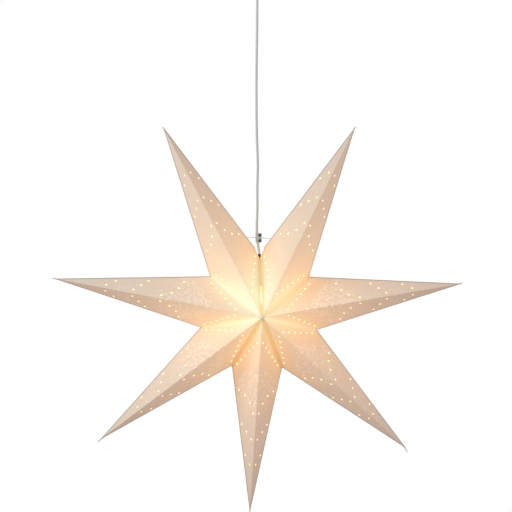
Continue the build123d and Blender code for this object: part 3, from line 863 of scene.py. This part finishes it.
def add_nib(sheet, index):
    """The small bent nib at a point's tip."""
    bearing = toward(tip_turns()[index])
    aside = FRONT.cross(bearing).normalized()
    tip = CENTRE + bearing * POINT_REACH
    lean = NIB_BENDS[index]
    half = NIB_HALF_WIDTH
    start = tip - bearing * NIB_START
    knee = tip - bearing * NIB_KNEE
    end = tip + bearing * NIB_ENDS[index] + aside * lean
    places = [start - aside * half, start + aside * half]
    places += [knee + aside * (half + lean / 3), knee + aside * (lean / 3 - half)]
    places += [end + aside * half, end - aside * half]
    marks = [NIB_MARKS] * len(places)
    sheet.add(places, marks, [(0, 1, 2, 3), (3, 2, 4, 5)], OUTSIDE, FRONT, tint=NIB_TINT)


def thicken(work):
    """Give a paper mesh its inner side and the walls at its rims."""
    outer = list(work.faces)
    rims = [edge for edge in work.edges if len(edge.link_faces) == 1]
    work.normal_update()
    inner_of = {}
    for vert in list(work.verts):
        pushes = []
        for face in vert.link_faces:
            if all(face.normal.dot(other) < SAME_FACING for other in pushes):
                pushes.append(face.normal.copy())
        push = sum(pushes, Vector((0, 0, 0))).normalized()
        least = max(LEAST_SPREAD, min(push.dot(normal) for normal in pushes))
        inner_of[vert] = work.verts.new(vert.co - push * PAPER / least, vert)
    for face in outer:
        twin = work.faces.new([inner_of[vert] for vert in reversed(face.verts)])
        twin.material_index = INSIDE
    for edge in rims:
        loop = edge.link_loops[0]
        first, second = loop.vert, loop.link_loop_next.vert
        wall = work.faces.new([second, first, inner_of[first], inner_of[second]])
        wall.material_index = INSIDE


def fold_flat(piece):
    """Give a piece on one point a mesh of its own."""
    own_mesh(piece)


def paper_point(index):
    """One folded point: four punched and printed facets, the glue flaps and a nib at its tip."""
    sheet = PaperSheet({0: 1, LAST_POINT: -1}.get(index, 0))
    for side in (0, 1):
        for depth in (-1, 1):
            facet = Facet(index, side, depth)
            add_facet(sheet, facet, SIDE_GLOWS[index][side], VALLEY_SHADINGS[index - 1 + side])
    add_nib(sheet, index)
    finishes = [PAPER_OUT, PAPER_IN]
    made = object_from(f"paper_point_{index + 1}", sheet.places, sheet.faces, finishes, sheet.kinds)
    for name, values in sheet.marks.items():
        store(made.data, name, values)
    store(made.data, "glow", sheet.glows, "FACE")
    store(made.data, "tint", sheet.tints, "FACE")
    store(made.data, "lace", [UPPER_LACE if sheet.seam_side else 1.0] * len(sheet.places))
    work = bmesh.new()
    work.from_mesh(made.data)
    bmesh.ops.remove_doubles(work, verts=work.verts, dist=PAPER_WELD)
    thicken(work)
    soften(work, PAPER_CREASE)
    work.to_mesh(made.data)
    work.free()
    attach(made, BODIES[index])
    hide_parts(f"star_point_{index + 1}")
    fold_flat(made)


for number in range(len(SECTOR_TURNS)):
    paper_point(number)


# The cord, on the same route as in the CAD model

CORD_RADIUS = 0.0021
CORD_ROUTE = [
    (0, 0.596),
    (0, 0.500),
    (-0.0017, 0.400),
    (-0.0011, 0.305),
    (0.0013, 0.256),
    (-0.0002, 0.215),
    (0.0004, 0.180),
    (-0.0012, 0.149),
    (0, 0.123),
    (0.0036, 0.104),
    (0.0036, 0.086),
]


def cord_piece():
    """The mains cord, a round tube along its route."""
    curve = bpy.data.curves.new("mains_cord", "CURVE")
    curve.dimensions = "3D"
    spline = curve.splines.new("NURBS")
    spline.points.add(len(CORD_ROUTE) - 1)
    for point, (across, height) in zip(spline.points, CORD_ROUTE):
        point.co = (across, 0, CENTRE.z + height, 1)
    spline.order_u = 3
    spline.use_endpoint_u = True
    spline.resolution_u = 16
    curve.bevel_depth = CORD_RADIUS
    curve.bevel_resolution = 8
    curve.use_fill_caps = True
    curve.materials.append(FINISHES["cord_sheath"])
    made = bpy.data.objects.new("mains_cord", curve)
    scene.collection.objects.link(made)
    return made


mains_cord = cord_piece()
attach(mains_cord, "pendant")
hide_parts("cord")


# Turned pieces of the lamp, smooth where the CAD model has plain facets

TURN_STEPS = 96
CURVE_STEPS = 6
THREAD_PITCH = 0.0025

# The boot's radii, and its heights above the star's centre
BOOT_FLANGE_RADIUS = 0.006
BOOT_NECK_RADIUS = 0.0046
BOOT_TIP_RADIUS = 0.0027
BOOT_BORE_RADIUS = CORD_RADIUS + 0.00005
BOOT_BOTTOM = 0.0784
BOOT_SHOULDER = 0.084
BOOT_BORE_END = 0.0858
BOOT_TOP = 0.101

# The boot's rings and the grooves above them
BOOT_RINGS = 4
RING_START = 0.0850
RING_PITCH = 0.0038
RING_RADIUS = 0.0041
RING_TAPER = 0.00034
RING_HEIGHT = 0.0020
GROOVE_DEPTH = 0.0007
GROOVE_START = 0.0024
GROOVE_END = 0.0034

# The lampholder's dome and skirt
DOME_TOP = 0.082
DOME_CEILING = 0.0804
DOME_OUTSIDE = [(0.014, 0.060), (0.0135, 0.068), (0.0116, 0.075), (0.0074, 0.082)]
DOME_INSIDE = [(0.0066, 0.0804), (0.0100, 0.075), (0.0119, 0.068), (0.0124, 0.060)]
SKIRT_BOTTOM = 0.038
SKIRT_SHOULDER = 0.0597
SKIRT_TOP = 0.066
SKIRT_RADIUS = 0.0135
SKIRT_NECK_RADIUS = 0.0116
SKIRT_WALL = 0.0015
SKIRT_STEPS = 12
RIB_COUNT = 24
RIB_DEPTH = 0.0004
RIB_SPAN = (0.041, 0.0575)
RIB_FADE = 0.003

# The holder's brass sleeve
SHELL_RADIUS = 0.0072
SHELL_WALL = 0.0005
SHELL_BOTTOM = 0.046
SHELL_FLANGE_RADIUS = 0.0098
SHELL_STEPS = 60
SHELL_THREAD_DEPTH = 0.0004
SHELL_THREAD_SPAN = (0.047, 0.0640)

# The bulb
GLOBE_RADIUS = 0.0225
GLOBE_CENTRE = 0.010
GLOBE_TOP = 0.024
GLOBE_BANDS = 24
HOUSING_TOP = 0.043
HOUSING_OUTLINE = [(0.0176, 0.024), (0.0136, 0.030), (0.0102, 0.036), (0.0089, 0.040), (0.0082, 0.043)]
CAP_TOP = 0.0606
CAP_RADIUS = 0.0068
CAP_CHAMFER = 0.0014
CAP_STEPS = 54
CAP_THREAD_DEPTH = 0.0006
CAP_THREAD_SPAN = (0.0445, 0.0590)
THREAD_FADE = 0.002

# The ceiling cup, with heights from the ceiling
CUP_OUTSIDE = [(0.038, -0.0003), (0.0366, -0.014), (0.030, -0.044), (0.008, -0.056), (0.0064, -0.060)]
CUP_INSIDE = [(0.0062, -0.0542), (0.0282, -0.0422), (0.0348, -0.0122), (0.0362, -0.0003)]
CUP_COLLAR = [(0.0064, -0.0678), (0.0062, -0.068), (0.0026, -0.068), (0.0026, -0.0542)]
GRUB_SIDES = 12
GRUB_RADIUS = 0.0015
GRUB_BORE = 0.006
GRUB_PLACE = (0, 0.0056, -0.0625)


def curve_through(points):
    """A smooth curve through places of radius and height."""
    places = [Vector(point) for point in points]
    places = [places[0], *places, places[-1]]
    curve = []
    for before, first, second, after in zip(places, places[1:], places[2:], places[3:]):
        for step in range(CURVE_STEPS):
            share = step / CURVE_STEPS
            sweep = (second - before) * share + (2 * before - 5 * first + 4 * second - after) * share**2
            sweep += (3 * first - before - 3 * second + after) * share**3
            curve.append(tuple(first + sweep / 2))
    curve.append(tuple(places[-1]))
    return curve


def thread_wave(height, angle):
    """The thread's wave, from 0 at its root to 1 at its crest."""
    return 0.5 + 0.5 * math.cos(2 * math.pi * height / THREAD_PITCH - angle)


def faded(height, span, width):
    """1 well within a span of heights, and less over this width toward its ends, to 0."""
    return max(0.0, min(1.0, (height - span[0]) / width, (span[1] - height) / width))


def even_heights(radius, low, high, count):
    """Places up or down a straight wall."""
    return [(radius, low + (high - low) * step / count) for step in range(count + 1)]


def turned(name, outline, slot, origin=CENTRE, ripple=None):
    """A smooth turned piece from a closed outline of radius and height above its origin."""
    verts = []
    for step in range(TURN_STEPS):
        angle = 2 * math.pi * step / TURN_STEPS
        for radius, height in outline:
            reach = radius + (ripple(radius, height, angle) if ripple else 0.0)
            verts.append(origin + Vector((reach * math.cos(angle), reach * math.sin(angle), height)))
    count = len(outline)
    faces = []
    for step in range(TURN_STEPS):
        here = step * count
        after = (step + 1) % TURN_STEPS * count
        for row in range(count):
            low = (row + 1) % count
            if outline[row][0] or outline[low][0]:
                faces.append((here + row, after + row, after + low, here + low))
    made = object_from(name, verts, faces, [FINISHES[slot]])
    finish_closed(made.data)
    return made


def stand_for(piece, body, node):
    """Let a piece ride on a body in place of a CAD node."""
    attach(piece, body)
    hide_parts(node)


def boot():
    """The ringed boot round the cord's end."""
    outline = [(0, BOOT_BOTTOM), (BOOT_FLANGE_RADIUS, BOOT_BOTTOM), (BOOT_FLANGE_RADIUS, DOME_CEILING)]
    outline += [(BOOT_NECK_RADIUS, DOME_CEILING), (BOOT_NECK_RADIUS, BOOT_SHOULDER)]
    for ring in range(BOOT_RINGS):
        low = RING_START + ring * RING_PITCH
        radius = RING_RADIUS - ring * RING_TAPER
        groove = radius - GROOVE_DEPTH
        outline += [(radius, low), (radius, low + RING_HEIGHT)]
        outline += [(groove, low + GROOVE_START), (groove, low + GROOVE_END)]
    outline += [(BOOT_TIP_RADIUS, BOOT_TOP), (BOOT_BORE_RADIUS, BOOT_TOP)]
    outline += [(BOOT_BORE_RADIUS, BOOT_BORE_END), (0, BOOT_BORE_END)]
    return turned("cord_boot_ringed", outline, "dark_plastic")


def dome():
    """The lampholder's rounded dome."""
    bore = [(BOOT_NECK_RADIUS, DOME_TOP), (BOOT_NECK_RADIUS, DOME_CEILING)]
    outline = curve_through(DOME_OUTSIDE) + bore + curve_through(DOME_INSIDE)
    return turned("holder_dome_rounded", outline, "lamp_white")


def skirt():
    """The lampholder's skirt, ribbed for the grip."""
    neck_bore = SKIRT_NECK_RADIUS - SKIRT_WALL
    shoulder_inside = SKIRT_SHOULDER - SKIRT_WALL
    bore = SKIRT_RADIUS - SKIRT_WALL
    outline = even_heights(SKIRT_RADIUS, SKIRT_BOTTOM, SKIRT_SHOULDER, SKIRT_STEPS)
    outline += [(SKIRT_NECK_RADIUS, SKIRT_SHOULDER), (SKIRT_NECK_RADIUS, SKIRT_TOP), (neck_bore, SKIRT_TOP)]
    outline += [(neck_bore, shoulder_inside), (bore, shoulder_inside), (bore, SKIRT_BOTTOM)]

    def ribs(radius, height, angle):
        wave = 0.5 + 0.5 * math.cos(RIB_COUNT * angle)
        return -RIB_DEPTH * wave * faded(height, RIB_SPAN, RIB_FADE) if radius == SKIRT_RADIUS else 0.0

    return turned("holder_skirt_ribbed", outline, "lamp_white", ripple=ribs)


def sleeve():
    """The brass sleeve with the thread rolled into its wall."""
    outside = SHELL_RADIUS + SHELL_WALL
    flange_bottom = SKIRT_TOP - SHELL_WALL
    outline = even_heights(SHELL_RADIUS, SHELL_BOTTOM, SKIRT_TOP, SHELL_STEPS)
    outline += [(SHELL_FLANGE_RADIUS, SKIRT_TOP), (SHELL_FLANGE_RADIUS, flange_bottom)]
    outline += even_heights(outside, flange_bottom, SHELL_BOTTOM, SHELL_STEPS)

    def rolled(radius, height, angle):
        depth = SHELL_THREAD_DEPTH * thread_wave(height, angle)
        return depth * faded(height, SHELL_THREAD_SPAN, THREAD_FADE) if radius <= outside else 0.0

    return turned("holder_sleeve_threaded", outline, "brass", ripple=rolled)


def bulb_cap():
    """The bulb's screw cap with its rolled thread."""
    wall = even_heights(CAP_RADIUS, HOUSING_TOP, CAP_TOP - CAP_CHAMFER, CAP_STEPS)
    outline = [(0, HOUSING_TOP), *wall, (CAP_RADIUS - CAP_CHAMFER, CAP_TOP), (0, CAP_TOP)]

    def rolled(radius, height, angle):
        depth = CAP_THREAD_DEPTH * (1 - thread_wave(height, angle))
        return -depth * faded(height, CAP_THREAD_SPAN, THREAD_FADE) if radius == CAP_RADIUS else 0.0

    return turned("bulb_cap_threaded", outline, "cap_metal", ripple=rolled)


def globe():
    """The opal globe as a smooth ball, closed above by the housing."""
    top_angle = math.asin((GLOBE_TOP - GLOBE_CENTRE) / GLOBE_RADIUS)
    outline = [(0, GLOBE_TOP)]
    for band in range(GLOBE_BANDS):
        angle = top_angle - (top_angle + math.pi / 2) * band / GLOBE_BANDS
        outline.append((GLOBE_RADIUS * math.cos(angle), GLOBE_CENTRE + GLOBE_RADIUS * math.sin(angle)))
    outline.append((0, GLOBE_CENTRE - GLOBE_RADIUS))
    return turned("bulb_globe_smooth", outline, "opal")


def housing():
    """The bulb's neck, drawn in smoothly from the globe to the cap."""
    outline = [(0, GLOBE_TOP), *curve_through(HOUSING_OUTLINE), (0, HOUSING_TOP)]
    return turned("bulb_neck_smooth", outline, "lit_neck")


def cup():
    """The ceiling cup, rounded, with the hole for its grub screw through the collar's back."""
    outline = curve_through(CUP_OUTSIDE) + CUP_COLLAR + curve_through(CUP_INSIDE)
    made = turned("ceiling_cup_rounded", outline, "white_plastic", origin=Vector((0, 0, 0)))
    bpy.ops.mesh.primitive_cylinder_add(vertices=GRUB_SIDES, radius=GRUB_RADIUS, depth=GRUB_BORE)
    drill = bpy.context.object
    drill.location = GRUB_PLACE
    drill.rotation_euler = (math.pi / 2, 0, 0)
    bored = made.modifiers.new("grub_hole", "BOOLEAN")
    bored.object = drill
    shown = made.evaluated_get(bpy.context.evaluated_depsgraph_get())
    made.data = bpy.data.meshes.new_from_object(shown)
    made.modifiers.clear()
    bpy.data.objects.remove(drill)
    return made


stand_for(boot(), "pendant", "cord_boot")
stand_for(dome(), "pendant", "holder_dome")
stand_for(skirt(), "pendant", "holder_skirt")
stand_for(sleeve(), "pendant", "holder_shell")
stand_for(bulb_cap(), "bulb", "bulb_screw_cap")
stand_for(globe(), "bulb", "bulb_globe")
stand_for(housing(), "bulb", "bulb_housing")
stand_for(cup(), "cup", "ceiling_cup")


# The seam's clips, bent closer than in the CAD model because the paper is drawn in there

CLIP_HALF_GAP = 0.0016
CLIP_STEEL = 0.0005
CLIP_LEG = 0.005
CLIP_HALF_LENGTH = 0.005
CLIP_PLACE_SHARE = 0.55
CLIP_SEAT = 0.0001
CLIP_BENDS = 8


def clip_strip(half_gap, rise):
    """One face of a clip's folded strip: up one leg, over the bend and down the other."""
    strip = [(-half_gap, -CLIP_LEG)]
    for step in range(CLIP_BENDS + 1):
        angle = math.pi * step / CLIP_BENDS
        strip.append((-half_gap * math.cos(angle), rise * math.sin(angle)))
    return [*strip, (half_gap, -CLIP_LEG)]


def clip(side, name):
    """A folded spring strip over the two seam flaps, at the front (-1) or the back (1)."""
    peak = Vector((0, side * HALF_DEPTH, 0))
    corner = Vector((0, 0, VALLEY_REACH))
    run = (corner - peak).normalized()
    inward = Vector((1, 0, 0)).cross(run) * side
    seat = peak.lerp(corner, CLIP_PLACE_SHARE) + inward * (FLAP_WIDTH + CLIP_SEAT)
    outer = clip_strip(CLIP_HALF_GAP + CLIP_STEEL, CLIP_STEEL)
    inner = clip_strip(CLIP_HALF_GAP, 0.0)
    verts = []
    for end in (-CLIP_HALF_LENGTH, CLIP_HALF_LENGTH):
        for across, depth in outer + inner:
            verts.append(CENTRE + seat + Vector((across, 0, 0)) + inward * depth + run * end)
    count = len(outer)
    starts = [0, count, 3 * count, 2 * count]
    faces = [tuple(starts), tuple(start + count - 1 for start in starts)]
    for here, there in zip(starts, starts[1:] + starts[:1]):
        for row in range(count - 1):
            faces.append((here + row, here + row + 1, there + row + 1, there + row))
    made = object_from(name, verts, faces, [FINISHES["zinc_steel"]])
    finish_closed(made.data)
    return made


for depth, end in ((-1, "front"), (1, "back")):
    folded_clip = clip(depth, f"seam_clip_folded_{end}")
    stand_for(folded_clip, "upper_right_point", f"seam_clip_{end}")
    fold_flat(folded_clip)


# CAD nodes that keep their shape

slots = {part["node"]: part["material_slot"] for part in frame["record"]["subparts"]}
for name, shown in frame["nodes"].items():
    if slots[name] in FINISHES:
        for holder in shown.material_slots:
            holder.material = FINISHES[slots[name]]


# Floor, light and camera

FLOOR_HEIGHT = -2.4
FLOOR_RADIUS = 1.6
FLOOR_SIDES = 72
AMBIENT_STRENGTH = 0.41
CAMERA_PLACE = CENTRE + Vector((-0.100, -1.953, 0.205))


def plain_floor():
    """A round floor far below the lantern."""
    rim = [toward(360 / FLOOR_SIDES * step) * FLOOR_RADIUS for step in range(FLOOR_SIDES)]
    verts = [Vector((place.x, place.z, FLOOR_HEIGHT)) for place in rim]
    return object_from("floor", verts, [tuple(range(FLOOR_SIDES))], [pale_floor()])


def studio_world():
    """A white backdrop for the camera, and a dimmer even light for everything else."""
    world = bpy.data.worlds.new("studio")
    scene.world = world
    world.use_nodes = True
    tree = world.node_tree
    tree.nodes.clear()
    ambient = tree.nodes.new("ShaderNodeBackground")
    backdrop = tree.nodes.new("ShaderNodeBackground")
    choose = tree.nodes.new("ShaderNodeMixShader")
    sky = tree.nodes.new("ShaderNodeOutputWorld")
    feed_all(tree, ambient, {"Color": (1, 1, 1), "Strength": AMBIENT_STRENGTH})
    feed_all(tree, backdrop, {"Color": (1, 1, 1)})
    feed_all(tree, choose, {"Fac": seen_directly(tree), 1: ambient.outputs[0], 2: backdrop.outputs[0]})
    feed_all(tree, sky, {"Surface": choose.outputs[0]})


def aim(made, place):
    """Put a lamp or camera into the scene, looking at the star's centre."""
    made.location = place
    made.rotation_euler = (CENTRE - made.location).to_track_quat("-Z", "Y").to_euler()
    scene.collection.objects.link(made)


def soft_light(name, place, size, power, colour):
    """A large soft lamp aimed at the star."""
    light = bpy.data.lights.new(name, "AREA")
    light.size = size
    light.energy = power
    light.color = colour
    aim(bpy.data.objects.new(name, light), place)


def front_camera():
    """The camera, in front of the star and a little above its centre."""
    view = bpy.data.cameras.new("camera")
    view.sensor_width = 36
    view.lens = 79.2
    view.shift_x = -0.00666
    view.shift_y = 0.109
    view.clip_start = 0.05
    view.clip_end = 30
    made = bpy.data.objects.new("camera", view)
    aim(made, CAMERA_PLACE)
    return made


plain_floor()
studio_world()
soft_light("key", place=(-1.35, -0.78, 0.28), size=0.9, power=12.5, colour=(0.80, 0.95, 1.0))
soft_light("side_fill", place=(1.54, -0.27, 0.28), size=1.0, power=3.9, colour=(0.95, 1.0, 1.0))
scene.camera = front_camera()
scene.view_settings.view_transform = "Standard"
